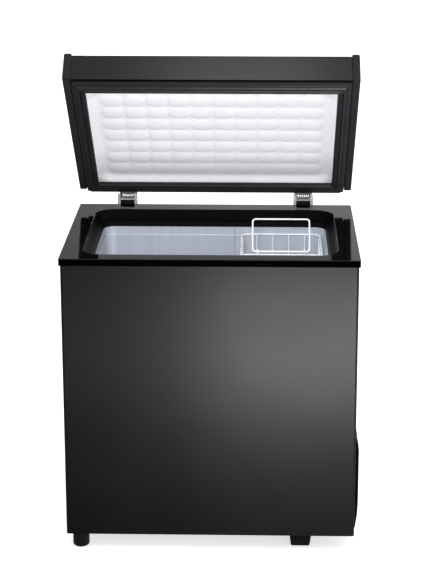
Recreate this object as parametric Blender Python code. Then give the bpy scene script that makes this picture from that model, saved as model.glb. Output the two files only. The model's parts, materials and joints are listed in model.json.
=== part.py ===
"""Chest freezer with a hinged lid, a sliding wire basket and its cooling circuit.

Metres, +Z up, the front faces -Y and the feet stand on Z = 0. Every piece is built in
cabinet coordinates (X and Y from the middle of the cabinet) and then carried by an empty:
cabinet_origin for what stands still, and one empty on each joint's axis for what moves.
"""

import math

import bmesh
import bpy
from mathutils import Matrix, Vector

# ---------------------------------------------------------------- driving dimensions
WIDTH = 0.750                # top frame, side to side
DEPTH = 0.520                # top frame, front to rear
CABINET_Y = -0.029           # middle of the cabinet; hinges and open lid reach further back
FOOT_HEIGHT = 0.040          # floor to the cabinet's lower edge
FRAME_TOP = 0.784            # floor to the top face of the frame
SHEET = 0.001                # steel and aluminium sheet
GAP = 0.0003                 # left between pieces that touch
CORNER_GAP = 0.0018          # square panels clear the wrap's rounded corners by this inset

FRAME_FACE = 0.018           # height of the frame's outer face
FRAME_WALL = 0.003
CABINET_INSET = 0.0036       # the steel wrap stands this far inside the frame's face
COLLAR_DEPTH = 0.0425        # frame's collar inside the opening
COLLAR_LEDGE = 0.027
TUB_INSET = 0.022            # tub's walls above the basket ledge, inside the opening's edge
TUB_FLOOR = 0.095            # height of the tub's floor
STEP_X = 0.105               # left face of the step over the compressor, inside the tub
STEP_TOP = 0.345
BAY_X = 0.150                # left wall of the compressor bay
BAY_TOP = 0.300

LID_OPEN = math.radians(47.2)
HINGE_Y = DEPTH / 2 + 0.035  # hinge axis, in cabinet coordinates
HINGE_Z = FRAME_TOP + 0.022
HINGE_X = 0.2435             # middle of each hinge
CAP_RIM = 0.010              # lid's side rims above the frame's top face
CAP_HEIGHT = 0.0800
CAP_WIDTH = 0.020
CAP_PROUD = 0.003
GASKET_WIDTH = 0.0137
FIELD_RISE = 0.026           # lid liner's middle above the frame's top face

BASKET = (0.0725, 0.2895, -0.1955, 0.1815)   # rim's outer edges: left, right, front, rear
BASKET_RIM = FRAME_TOP - 0.0622
BASKET_HEIGHT = 0.150
WIRE = 0.0015                # radius of the basket's wire
THICK_WIRE = 0.0022          # the same for its rim and its handle
BASKET_LEDGE = BASKET_RIM - THICK_WIRE - GAP
HANDLE_X = (0.105, 0.255)
HANDLE_Y = 0.008
HANDLE_Z = FRAME_TOP - 0.0590
HANDLE_REACH = 0.0870
HANDLE_LEAN = math.radians(28.0)
HANDLE_BAR = 0.0088          # the basket's crossbar below the handle's axis

BASE_PLATE_Z = FOOT_HEIGHT + SHEET + GAP
BASE_PLATE = 0.002
COMPRESSOR = (0.262, 0.120)  # middle of the compressor: x, y
MOUNT_X, MOUNT_Y = 0.078, 0.050
COVER_X = (0.140, 0.3665)
COVER_Z = (0.040, 0.305)
KNOB = (0.185, 0.262)        # thermostat shaft on the bay cover: x, z
GLAND = (0.205, 0.075)       # cord gland on the bay cover: x, z
GRILLE_Y = (-0.225, -0.045)
GRILLE_Z = (0.050, 0.295)
GRILLE_OUT = 0.010

FOOT_X = -0.336              # round levelling feet
FOOT_Y = (-0.232, 0.215)
BLOCK_X = 0.2335             # block feet
BLOCK_Y = (-0.212, 0.215)
DRAIN = (-0.100, 0.040)      # middle of the drain in the tub's floor: x, y
DRAIN_HOLE = 0.0098

HINGE_SHEET = 0.002
CHEEK_X = 0.0215             # outer face of the bracket's cheeks, from the hinge's middle
LIP_X = 0.0275               # outer edge of its front lips
SCREW_DROP = (0.040, 0.080)  # hinge screws below the frame's top face

OPENING = (-0.3225, 0.3225, -0.218, 0.204, 0.050)
FRAME = (-WIDTH / 2, WIDTH / 2, -DEPTH / 2, DEPTH / 2, 0.004)
WRAP_X = WIDTH / 2 - CABINET_INSET
WRAP_Y = DEPTH / 2 - CABINET_INSET
COVER_Y = WRAP_Y + GAP

# ---------------------------------------------------------------- materials
MATERIALS = {
    "black_steel": ((0.030, 0.030, 0.032), 0.42, 0.0),
    "gloss_black": ((0.012, 0.012, 0.013), 0.12, 0.0),
    "grey_black": ((0.040, 0.040, 0.042), 0.38, 0.0),
    "liner_metal": ((0.60, 0.64, 0.70), 0.35, 0.8),
    "white_plastic": ((0.86, 0.86, 0.90), 0.40, 0.0),
    "white_wire": ((0.86, 0.89, 0.93), 0.30, 0.0),
    "zinc": ((0.62, 0.63, 0.64), 0.32, 0.9),
    "foam": ((0.86, 0.80, 0.58), 0.90, 0.0),
    "copper": ((0.72, 0.35, 0.20), 0.30, 1.0),
    "rubber": ((0.020, 0.020, 0.020), 0.70, 0.0),
    "compressor_black": ((0.018, 0.018, 0.020), 0.30, 0.0),
    "grey_steel": ((0.45, 0.46, 0.47), 0.45, 0.9),
    "grey_plastic": ((0.16, 0.16, 0.17), 0.50, 0.0),
}


def material(slot):
    found = bpy.data.materials.get(slot)
    if found:
        return found
    colour, roughness, metallic = MATERIALS[slot]
    made = bpy.data.materials.new(slot)
    made.use_nodes = True
    shader = made.node_tree.nodes["Principled BSDF"]
    shader.inputs["Base Color"].default_value = (*colour, 1.0)
    shader.inputs["Roughness"].default_value = roughness
    shader.inputs["Metallic"].default_value = metallic
    return made


# ---------------------------------------------------------------- shared tools
def empty(name, place, turn=(0.0, 0.0, 0.0), parent=None):
    made = bpy.data.objects.new(name, None)
    made.location = place
    made.rotation_euler = turn
    made.parent = parent
    bpy.context.collection.objects.link(made)
    return made


def add_object(name, data, slot, carrier, shift):
    """Link a piece that was drawn in cabinet coordinates; shift is its carrier's place there."""
    made = bpy.data.objects.new(name, data)
    made.data.materials.append(material(slot))
    made.parent = carrier
    made.location = -Vector(shift)
    bpy.context.collection.objects.link(made)
    return made


def finish(name, bm, slot, at, smooth=0.0):
    carrier, shift = at
    bmesh.ops.recalc_face_normals(bm, faces=bm.faces)
    mesh = bpy.data.meshes.new(name)
    bm.to_mesh(mesh)
    bm.free()
    if smooth:
        mesh.shade_smooth()
        mesh.set_sharp_from_angle(angle=math.radians(smooth))
    return add_object(name, mesh, slot, carrier, shift)


def cutter(name, bm, at):
    made = finish(name, bm, "foam", at)
    made.hide_render = True
    made.display_type = "WIRE"
    return made


def combine(piece, other, operation):
    modifier = piece.modifiers.new(operation.lower(), "BOOLEAN")
    modifier.operation = operation
    modifier.object = other
    return piece


def cut(piece, bm, at):
    return combine(piece, cutter(piece.name + "_cut", bm, at), "DIFFERENCE")


def bevel(piece, width, segments=2, angle=40.0):
    modifier = piece.modifiers.new("bevel", "BEVEL")
    modifier.width = width
    modifier.segments = segments
    modifier.limit_method = "ANGLE"
    modifier.angle_limit = math.radians(angle)
    return piece


def add_box(bm, x, y, z):
    corners = [bm.verts.new((i, j, k)) for i in x for j in y for k in z]
    for face in ((0, 1, 3, 2), (4, 6, 7, 5), (0, 4, 5, 1), (2, 3, 7, 6), (0, 2, 6, 4), (1, 5, 7, 3)):
        bm.faces.new([corners[i] for i in face])


def box(*sides):
    bm = bmesh.new()
    for x, y, z in sides:
        add_box(bm, x, y, z)
    return bm


def inset(rect, distance):
    left, right, front, rear, radius = rect
    return (left + distance, right - distance, front + distance, rear - distance,
            max(radius - distance, 0.0006))


def rect_points(rect, z, steps):
    """Corner points of a rounded rectangle, anticlockwise from the rear right."""
    left, right, front, rear, radius = rect
    corners = ((right, rear, 0), (left, rear, 1), (left, front, 2), (right, front, 3))
    points = []
    for x, y, quarter in corners:
        centre_x = x - math.copysign(radius, x - (left + right) / 2)
        centre_y = y - math.copysign(radius, y - (front + rear) / 2)
        for step in range(steps + 1):
            turn = math.pi / 2 * (quarter + step / steps)
            points.append((centre_x + radius * math.cos(turn), centre_y + radius * math.sin(turn), z))
    return points


def add_loft(bm, loops, capped):
    rings = [[bm.verts.new(point) for point in loop] for loop in loops]
    pairs = list(zip(rings, rings[1:]))
    if capped:
        bm.faces.new(rings[0])
        bm.faces.new(rings[-1])
    else:
        pairs.append((rings[-1], rings[0]))
    count = len(rings[0])
    for low, high in pairs:
        for i in range(count):
            j = (i + 1) % count
            bm.faces.new((low[i], low[j], high[j], high[i]))


def rect_loft(sections, steps=4, capped=True):
    """sections: (rectangle, z) pairs. Uncapped, the last joins the first to make a ring."""
    bm = bmesh.new()
    add_loft(bm, [rect_points(rect, z, steps) for rect, z in sections], capped)
    return bm


def circle(centre, radius, z, sides):
    turns = [2 * math.pi * i / sides for i in range(sides)]
    return [(centre[0] + radius * math.cos(t), centre[1] + radius * math.sin(t), z) for t in turns]


def turned(centre, profile, sides=20, capped=True):
    """A piece turned about a vertical axis; profile is (radius, z) pairs from the bottom up."""
    bm = bmesh.new()
    add_loft(bm, [circle(centre, radius, z, sides) for radius, z in profile], capped)
    return bm


def turned_along(axis, centre, profile, sides=20, capped=True):
    """The same about a horizontal axis; profile's second value is the distance along it."""
    bm = turned((0.0, 0.0), profile, sides, capped)
    turn = {"X": Matrix.Rotation(math.pi / 2, 4, "Y"), "Y": Matrix.Rotation(-math.pi / 2, 4, "X")}[axis]
    bmesh.ops.transform(bm, matrix=Matrix.Translation(centre) @ turn, verts=bm.verts)
    return bm


def extruded(outline, axis, span):
    """Prism of an outline: (y, z) pairs along X, or (x, z) pairs along Y."""
    def place(pair, along):
        return (along, *pair) if axis == "X" else (pair[0], along, pair[1])
    bm = bmesh.new()
    add_loft(bm, [[place(pair, along) for pair in outline] for along in span], True)
    return bm


def arc(centre, radius, start, stop, steps):
    turns = [math.radians(start + (stop - start) * i / steps) for i in range(steps + 1)]
    return [(centre[0] + radius * math.cos(t), centre[1] + radius * math.sin(t)) for t in turns]


def fillet(points, radius, steps=3, closed=False):
    """The same route with its corners rounded."""
    points = [Vector(point) for point in points]
    count = len(points)
    route = []
    for i, corner in enumerate(points):
        if not closed and i in (0, count - 1):
            route.append(corner)
            continue
        back = (points[i - 1] - corner).normalized()
        ahead = (points[(i + 1) % count] - corner).normalized()
        half = back.angle(ahead) / 2
        reach = radius / math.tan(half)
        centre = corner + (back + ahead).normalized() * radius / math.sin(half)
        start = (corner + back * reach - centre).normalized()
        stop = (corner + ahead * reach - centre).normalized()
        route += [centre + start.slerp(stop, step / steps) * radius for step in range(steps + 1)]
    return route


def tube(name, route, radius, slot, at, closed=False, sides=8):
    carrier, shift = at
    curve = bpy.data.curves.new(name, "CURVE")
    curve.dimensions = "3D"
    curve.bevel_depth = radius
    curve.bevel_resolution = (sides - 4) // 2
    curve.use_fill_caps = True
    spline = curve.splines.new("POLY")
    spline.points.add(len(route) - 1)
    for point, place in zip(spline.points, route):
        point.co = (*place, 1.0)
    spline.use_cyclic_u = closed
    spline.use_smooth = True
    return add_object(name, curve, slot, carrier, shift)


# ---------------------------------------------------------------- cabinet
def make_outer_wrap(at):
    outside = (-WRAP_X, WRAP_X, -WRAP_Y, WRAP_Y, 0.006)
    low, high = FOOT_HEIGHT, FRAME_TOP - FRAME_WALL - 0.0005 - GAP
    sections = [
        (outside, low), (outside, high), (inset(outside, SHEET), high),
        (inset(outside, SHEET), low + SHEET), (inset(outside, 0.013), low + SHEET),
        (inset(outside, 0.013), low),
    ]
    wrap = finish("outer_wrap", rect_loft(sections, 3, False), "black_steel", at, 30)
    rear_x, rear_y = (-WRAP_X + 0.016, WRAP_X - 0.016), (WRAP_Y - 0.03, WRAP_Y + 0.01)
    rear_gap = (rear_x, rear_y, (low - 0.01, high + 0.01))
    vent = ((WRAP_X - 0.02, WRAP_X + 0.01), (-0.215, -0.055), (0.060, 0.285))
    return cut(wrap, box(rear_gap, vent), at)


def make_rear_panel(at):
    side = WRAP_X - SHEET - 3 * CORNER_GAP
    rear = WRAP_Y - SHEET - GAP
    low, high = FOOT_HEIGHT + SHEET + GAP, FRAME_TOP - FRAME_WALL - 0.0008 - GAP
    sheet = ((-side, side), (rear - SHEET, rear), (low, high))
    bay = ((BAY_X + 0.004, WRAP_X - 0.018), (rear - 0.01, rear + 0.01), (0.045, BAY_TOP - 0.006))
    panel = finish("rear_panel", box(sheet), "black_steel", at)
    return cut(panel, box(bay), at)


def make_base_panel(at):
    side = WRAP_X - SHEET - CORNER_GAP
    low = FOOT_HEIGHT + SHEET + GAP
    outline = [
        (-side, low), (BAY_X, low), (BAY_X, BAY_TOP), (side, BAY_TOP),
        (side, BAY_TOP + SHEET), (BAY_X - SHEET, BAY_TOP + SHEET),
        (BAY_X - SHEET, low + SHEET), (-side, low + SHEET),
    ]
    span = (-WRAP_Y + SHEET + CORNER_GAP, WRAP_Y - 2 * SHEET - 2 * GAP)
    panel = finish("base_panel", extruded(outline, "Y", span), "grey_steel", at)
    return cut(panel, turned(DRAIN, [(DRAIN_HOLE, low - 0.01), (DRAIN_HOLE, low + 0.01)]), at)


def make_top_frame(at):
    top = FRAME_TOP
    wall = FRAME_WALL
    edge = 0.0015
    sections = [
        (inset(FRAME, wall), top - FRAME_FACE), (FRAME, top - FRAME_FACE), (FRAME, top - edge),
        (inset(FRAME, edge), top), (inset(OPENING, -edge), top), (OPENING, top - edge),
        (inset(OPENING, 0.005), top - COLLAR_LEDGE), (inset(OPENING, 0.016), top - COLLAR_LEDGE - 0.003),
        (inset(OPENING, TUB_INSET - 0.001), top - COLLAR_DEPTH),
        (inset(OPENING, TUB_INSET - 0.004), top - COLLAR_DEPTH),
        (inset(OPENING, 0.013), top - COLLAR_LEDGE - 0.006),
        (inset(OPENING, 0.002), top - COLLAR_LEDGE - 0.003),
        (inset(OPENING, -wall), top - wall - 0.0005), (inset(FRAME, wall), top - wall - 0.0005),
    ]
    return finish("top_frame", rect_loft(sections, 6, False), "gloss_black", at, 25)


def tub_sections(offset, flange):
    """The tub grown outwards by offset; flange adds the rim that lies under the collar."""
    top = FRAME_TOP - COLLAR_DEPTH - GAP
    depths = [
        (0.060, TUB_FLOOR), (0.040, TUB_FLOOR + 0.006), (0.031, TUB_FLOOR + 0.022),
        (0.029, TUB_FLOOR + 0.045), (0.026, BASKET_LEDGE - 0.0005), (TUB_INSET, BASKET_LEDGE),
    ]
    sections = [(inset(OPENING, d - offset), z - offset) for d, z in depths]
    wall = inset(OPENING, TUB_INSET - offset)
    if not flange:
        return sections + [(wall, top + 0.02)]
    rim = inset(OPENING, 0.012)
    return sections + [(wall, top - SHEET), (rim, top - SHEET), (rim, top)]


def step_block(offset):
    return box(((STEP_X + offset, WIDTH), (-DEPTH, DEPTH), (-0.1, STEP_TOP - offset)))


def make_tub(name, offset, flange, slot, at):
    """Solid of the tub's space, with the step over the compressor taken out of it."""
    tub = finish(name, rect_loft(tub_sections(offset, flange), 4), slot, at, 30)
    step = cutter(name + "_step", step_block(offset), at)
    bevel(step, 0.014 - offset, 3)
    return combine(tub, step, "DIFFERENCE")


def hide(piece):
    piece.hide_render = True
    piece.display_type = "WIRE"
    return piece


def make_inner_liner(at):
    liner = make_tub("inner_liner", SHEET, True, "liner_metal", at)
    inside = hide(make_tub("tub_space", 0.0, False, "foam", at))
    combine(liner, inside, "DIFFERENCE")
    hole = turned(DRAIN, [(DRAIN_HOLE, TUB_FLOOR - 0.02), (DRAIN_HOLE, TUB_FLOOR + 0.02)])
    return cut(liner, hole, at)


COIL_LEVELS = [FRAME_TOP - 0.080 - 0.058 * i for i in range(6)]
COIL_INSET = 0.0192
COIL_RADIUS = 0.004
SKIN_LEVELS = [FRAME_TOP - 0.085 - 0.085 * i for i in range(4)]
SKIN_RADIUS = 0.0025
SKIN_END = 0.215             # where the skin condenser turns back, near the rear
SKIN_X = WRAP_X - SHEET - SKIN_RADIUS - 0.0008


def evaporator_route():
    ring = inset(OPENING, COIL_INSET)
    rear = ring[3]
    route = []
    for level in COIL_LEVELS:
        turn = rect_points(ring, level, 3)
        right, left = turn[:4], turn[4:8]
        front = turn[8:]
        route += [(0.02, rear, level)] + right[::-1] + front[::-1] + left[::-1] + [(-0.02, rear, level)]
    return route


def condenser_route():
    left, right = -SKIN_X, SKIN_X
    front = -WRAP_Y + SHEET + SKIN_RADIUS + 0.0008
    route = []
    for i, level in enumerate(SKIN_LEVELS):
        turn = [(right, SKIN_END, level), (right, front, level), (left, front, level),
                (left, SKIN_END, level)]
        route += turn if i % 2 == 0 else turn[::-1]
    return fillet(route, 0.008, 2)


def make_cabinet_foam(at):
    side = WRAP_X - SHEET - GAP
    front, rear = -WRAP_Y + SHEET + GAP, WRAP_Y - 2 * SHEET - 3 * GAP
    low = FOOT_HEIGHT + 2 * SHEET + 2 * GAP
    high = FRAME_TOP - COLLAR_DEPTH - SHEET - 2 * GAP
    block = (-side + GAP, side - GAP, front, rear, 0.005)
    foam = finish("cabinet_foam", rect_loft([(block, low), (block, high)], 2), "foam", at)
    bay = ((BAY_X - SHEET - GAP, WIDTH), (-DEPTH, DEPTH), (0.0, BAY_TOP + SHEET + GAP))
    cut(foam, box(bay), at)
    combine(foam, hide(make_tub("tub_outside", SHEET + GAP, False, "foam", at)), "DIFFERENCE")
    combine(foam, cutter("coil_grooves", coil_grooves(), at), "DIFFERENCE")
    combine(foam, cutter("coil_risers", coil_risers(), at), "DIFFERENCE")
    return cut(foam, turned(DRAIN, [(DRAIN_HOLE, 0.0), (DRAIN_HOLE, 0.12)]), at)


def coil_grooves():
    """Level channels for both coils, open towards the liner and towards the wrap."""
    bm = bmesh.new()
    half = COIL_RADIUS + 0.0006
    for level in COIL_LEVELS:
        outer, inner = inset(OPENING, COIL_INSET - half), inset(OPENING, 0.034)
        add_ring(bm, outer, inner, level - half, level + half)
    half = SKIN_RADIUS + 0.0006
    outside = (-WIDTH, WIDTH, -DEPTH, DEPTH, 0.01)
    inside = (-SKIN_X + half, SKIN_X - half, -WRAP_Y + 0.0075, DEPTH - 0.02, 0.006)
    for level in SKIN_LEVELS:
        add_ring(bm, outside, inside, level - half, level + half)
    return bm


def coil_risers():
    """Upright channels where each coil steps from one level to the next."""
    bm = bmesh.new()
    half = COIL_RADIUS + 0.0007
    rear = OPENING[3] - COIL_INSET
    add_box(bm, (-0.026, 0.026), (rear - 0.02, rear + half), (COIL_LEVELS[-1] - half, COIL_LEVELS[0] + half))
    half = SKIN_RADIUS + 0.0007
    for i, sign in enumerate((-1, 1, -1)):
        column = sorted((sign * (SKIN_X - half), sign * WIDTH))
        add_box(bm, column, (SKIN_END - 0.011, SKIN_END + half), (SKIN_LEVELS[i + 1], SKIN_LEVELS[i]))
    return bm


def add_ring(bm, outer, inner, low, high):
    loops = [rect_points(outer, low, 3), rect_points(outer, high, 3),
             rect_points(inner, high, 3), rect_points(inner, low, 3)]
    add_loft(bm, loops, False)


def make_coils(at):
    tube("evaporator_coil", evaporator_route(), COIL_RADIUS, "grey_steel", at, sides=6)
    tube("condenser_coil", condenser_route(), SKIN_RADIUS, "copper", at, sides=6)


# ---------------------------------------------------------------- compressor bay
def make_base_plate(at):
    side = WRAP_X - SHEET - CORNER_GAP
    left, right = BAY_X + GAP, side
    low, floor, high = BASE_PLATE_Z, BASE_PLATE_Z + BASE_PLATE, BASE_PLATE_Z + 0.012
    outline = [
        (left, low), (right, low), (right, high), (right - BASE_PLATE, high),
        (right - BASE_PLATE, floor), (left + BASE_PLATE, floor), (left + BASE_PLATE, high), (left, high),
    ]
    tray = extruded(outline, "Y", (-0.236, 0.248))
    return finish("compressor_base_plate", tray, "grey_steel", at)


def make_compressor(at):
    x, y = COMPRESSOR
    def can(half_x, half_y, radius):
        return (x - half_x, x + half_x, y - half_y, y + half_y, radius)
    shape = [
        (0.030, 0.022, 0.020, 0.0640), (0.058, 0.046, 0.042, 0.0660), (0.072, 0.060, 0.055, 0.0760),
        (0.076, 0.064, 0.058, 0.0960), (0.076, 0.064, 0.058, 0.1380), (0.079, 0.067, 0.060, 0.1385),
        (0.079, 0.067, 0.060, 0.1425), (0.074, 0.062, 0.057, 0.1430), (0.072, 0.060, 0.055, 0.1760),
        (0.062, 0.050, 0.046, 0.2000), (0.040, 0.030, 0.028, 0.2130), (0.014, 0.010, 0.009, 0.2170),
    ]
    sections = [(can(a, b, r), z) for a, b, r, z in shape]
    body = finish("compressor", rect_loft(sections, 4), "compressor_black", at, 50)
    reach_x, reach_y = MOUNT_X + 0.014, MOUNT_Y + 0.013
    strap = box(((x - reach_x, x + reach_x), (y - reach_y, y + reach_y), (0.0625, 0.0650)))
    combine(body, cutter("compressor_strap", strap, at), "UNION")
    holes = bmesh.new()
    for place in mounts():
        add_loft(holes, [circle(place, 0.0034, z, 12) for z in (0.05, 0.075)], True)
    return cut(body, holes, at)


def mounts():
    x, y = COMPRESSOR
    return [(x + i * MOUNT_X, y + j * MOUNT_Y) for j in (-1, 1) for i in (-1, 1)]


def make_compressor_mounts(at):
    low = BASE_PLATE_Z + BASE_PLATE + GAP
    for number, place in enumerate(mounts(), 1):
        rubber = [(0.0095, low), (0.0105, low + 0.006), (0.0080, low + 0.012), (0.0105, 0.0610),
                  (0.0095, 0.0622), (0.0034, 0.0622), (0.0034, low)]
        finish("compressor_grommet_%d" % number, turned(place, rubber, 12, False), "rubber", at, 40)
        bolt = [(0.0030, low), (0.0030, 0.0653), (0.0070, 0.0653), (0.0070, 0.0703), (0.0030, 0.0703),
                (0.0030, 0.0740)]
        finish("compressor_bolt_%d" % number, turned(place, bolt, 6), "zinc", at)


def make_bay_fittings(at):
    x, y = COMPRESSOR
    cover = box(((x - 0.030, x + 0.030), (y - 0.100, y - 0.0680), (0.085, 0.150)))
    bevel(finish("relay_cover", cover, "grey_plastic", at), 0.004)
    drier = [(0.0028, -0.070), (0.0028, -0.056), (0.0095, -0.046), (0.0095, 0.046), (0.0028, 0.056),
             (0.0028, 0.070)]
    finish("filter_drier", turned_along("Y", (0.178, -0.060, 0.215), drier, 14), "copper", at, 40)
    make_pipes(x, y, at)


def make_pipes(x, y, at):
    """Copper tubes of the compressor at x, y; two run up to the bay's roof."""
    top = BAY_TOP - GAP - 0.0007
    port, column, line = x - 0.0835, x - 0.097, y + 0.010
    suction = [(port, line, 0.118), (column, line, 0.118), (column, line, top)]
    port, column, line = x + 0.0800, x + 0.092, y - 0.010
    discharge = [(port, line, 0.125), (column, line, 0.125), (column, line, 0.270),
                 (column, -0.060, 0.270), (column, -0.060, top)]
    port, column, line = x - 0.0835, x - 0.098, y - 0.025
    process = [(port, line, 0.118), (column, line, 0.118), (column, line, 0.165)]
    for name, route, radius in (("suction", suction, 0.004), ("discharge", discharge, 0.003),
                                ("process", process, 0.003)):
        tube(name + "_tube", fillet(route, 0.008), radius, "copper", at)


def make_bay_cover(at):
    plate = box((COVER_X, (COVER_Y, COVER_Y + 0.002), COVER_Z))
    cover = bevel(finish("bay_cover", plate, "black_steel", at), 0.0007, 1)
    slots = bmesh.new()
    for row in range(9):
        z = 0.110 + 0.015 * row
        for x in ((0.165, 0.250), (0.262, 0.347)):
            add_box(slots, x, (COVER_Y - 0.01, COVER_Y + 0.01), (z, z + 0.007))
    for x, z, radius in ((*KNOB, 0.0048), (*GLAND, 0.0085)):
        add_turned_along_y(slots, (x, z), radius, (COVER_Y - 0.01, COVER_Y + 0.01))
    return cut(cover, slots, at)


def add_turned_along_y(bm, centre, radius, span):
    loops = []
    for y in span:
        loops.append([(x, y, z) for x, z, _ in circle(centre, radius, 0.0, 16)])
    add_loft(bm, loops, True)


def make_controls(at, knob_at):
    x, z = KNOB
    case = box(((x - 0.022, x + 0.022), (COVER_Y - 0.042, COVER_Y - 0.0035), (z - 0.020, z + 0.020)))
    bevel(finish("thermostat", case, "grey_steel", at), 0.002)
    profile = [(0.0042, -0.0032), (0.0042, 0.0023), (0.0160, 0.0023), (0.0165, 0.0060), (0.0150, 0.0155),
               (0.0135, 0.0170)]
    turning = turned_along("Y", (x, COVER_Y, z), profile, 18)
    knob = finish("thermostat_knob", turning, "grey_black", knob_at, 30)
    pointer = ((x - 0.0012, x + 0.0012), (COVER_Y + 0.0155, COVER_Y + 0.0185), (z, z + 0.0125))
    combine(knob, cutter("knob_pointer", box(pointer), knob_at), "UNION")
    x, z = GLAND
    bush = [(0.0080, -0.0060), (0.0080, 0.0023), (0.0125, 0.0023), (0.0115, 0.0060), (0.0060, 0.0140),
            (0.0038, 0.0140), (0.0038, -0.0060)]
    finish("cord_gland", turned_along("Y", (x, COVER_Y, z), bush, 16, False), "rubber", at, 40)


def make_side_grille(at):
    """Bulged louvred cover over the vent in the cabinet's right side."""
    x = WRAP_X + GAP
    out = x + GRILLE_OUT - GAP
    wall = 0.0018
    low, high = GRILLE_Z
    outline = [(x, low), (x + 0.003, low), (out - 0.002, low + 0.035), (out, low + 0.070),
               (out, high - 0.030), (out - 0.002, high - 0.012), (x + 0.003, high), (x, high)]
    inner = [(x - 0.01, low + wall), (x + 0.003, low + wall + 0.001), (out - 0.002 - wall, low + 0.036),
             (out - wall, low + 0.071), (out - wall, high - 0.031), (out - 0.002 - wall, high - 0.014),
             (x + 0.003, high - wall - 0.001), (x - 0.01, high - wall)]
    grille = finish("side_grille", extruded(outline, "Y", GRILLE_Y), "grey_black", at)
    cut(grille, extruded(inner, "Y", (GRILLE_Y[0] + 0.003, GRILLE_Y[1] - 0.003)), at)
    slots = bmesh.new()
    for row in range(11):
        z = low + 0.040 + 0.0165 * row
        add_box(slots, (x + 0.004, out + 0.01), (GRILLE_Y[0] + 0.014, GRILLE_Y[1] - 0.014), (z, z + 0.007))
    return cut(grille, slots, at)


# ---------------------------------------------------------------- feet and drain
def make_feet(carriers, at):
    top = FOOT_HEIGHT + SHEET
    for place, y in zip(("front", "rear"), FOOT_Y):
        profile = [(0.0180, 0.0), (0.0206, 0.0024), (0.0215, 0.007), (0.0215, top - 0.010),
                   (0.0200, top - 0.0025), (0.0060, top - 0.0020), (0.0060, top)]
        finish("foot_left_" + place, turned((FOOT_X, y), profile, 18), "rubber", carriers[place], 40)
    for place, y in zip(("front", "rear"), BLOCK_Y):
        sole = (BLOCK_X - 0.0245, BLOCK_X + 0.0245, y - 0.021, y + 0.021, 0.004)
        seat = (BLOCK_X - 0.0295, BLOCK_X + 0.0295, y - 0.025, y + 0.025, 0.004)
        sections = [(inset(sole, 0.002), 0.0), (sole, 0.002), (seat, FOOT_HEIGHT + SHEET)]
        finish("foot_right_" + place, rect_loft(sections, 2), "rubber", at, 40)


def make_drain(at, plug_at, cap_at):
    pipe = [(0.0095, 0.022), (0.0095, TUB_FLOOR - 0.0002), (0.0075, TUB_FLOOR - 0.0002), (0.0075, 0.022)]
    finish("drain_tube", turned(DRAIN, pipe, 16, False), "grey_plastic", at, 40)
    floor = TUB_FLOOR + GAP
    plug = [(0.0060, floor - 0.016), (0.0070, floor), (0.0140, floor), (0.0150, floor + 0.0025),
            (0.0050, floor + 0.004), (0.0050, floor + 0.012)]
    finish("drain_plug", turned(DRAIN, plug, 16), "rubber", plug_at, 40)
    cap = [(0.0130, 0.0120), (0.0135, 0.0140), (0.0135, 0.0300), (0.0100, 0.0300), (0.0100, 0.0210)]
    finish("drain_cap", turned(DRAIN, cap, 16), "grey_plastic", cap_at, 40)


# ---------------------------------------------------------------- hinges
def make_hinge_bracket(side, x, at):
    """Channel on the cabinet's rear wall: two cheeks for the pin, lips, a crossbar and a rear web."""
    top, sheet = FRAME_TOP, HINGE_SHEET
    rear = WRAP_Y + GAP
    lip_y = (DEPTH / 2 + 0.0022, DEPTH / 2 + 0.0022 + sheet)
    outline = [(rear, top - 0.100), (rear + 0.018, top - 0.100), (HINGE_Y + 0.004, top - 0.012)]
    outline += arc((HINGE_Y, HINGE_Z), 0.0115, -30, 150, 6)
    outline += [(lip_y[0], top + 0.028), (lip_y[0], top - 0.021), (rear, top - 0.021)]
    bracket = finish("hinge_bracket_" + side, extruded(outline, "X", (x - CHEEK_X, x + CHEEK_X)), "zinc", at)
    inner = (x - CHEEK_X + sheet, x + CHEEK_X - sheet)
    cut(bracket, box((inner, (rear + sheet, HINGE_Y + 0.05), (top - 0.2, HINGE_Z + 0.05))), at)
    holes = bmesh.new()
    add_loft(holes, x_circles((x - 0.05, x + 0.05), 0.0033), True)
    for z in SCREW_DROP:
        add_turned_along_y(holes, (x, top - z), 0.0024, (rear - 0.01, rear + 0.01))
    cut(bracket, holes, at)
    for number, sign in enumerate((-1, 1)):
        span = sorted((x + sign * (CHEEK_X - 0.0005), x + sign * LIP_X))
        lip = cutter("lip_%s_%d" % (side, number), box((span, lip_y, (top - 0.0195, top + 0.027))), at)
        combine(bracket, lip, "UNION")
    bar_x = (x - CHEEK_X + 0.0005, x + CHEEK_X - 0.0005)
    bar_y = (lip_y[0] + 0.0002, lip_y[1] - 0.0002)
    crossbar = box((bar_x, bar_y, (top + 0.0108, top + 0.0145)))
    combine(bracket, cutter("crossbar_" + side, crossbar, at), "UNION")
    low, high = top - 0.012, top + 0.0135
    web = [(HINGE_Y + 0.002, low), (HINGE_Y + 0.004, low), (HINGE_Y + 0.0096, high), (HINGE_Y + 0.0076, high)]
    return combine(bracket, cutter("web_" + side, extruded(web, "X", bar_x), at), "UNION")


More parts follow.
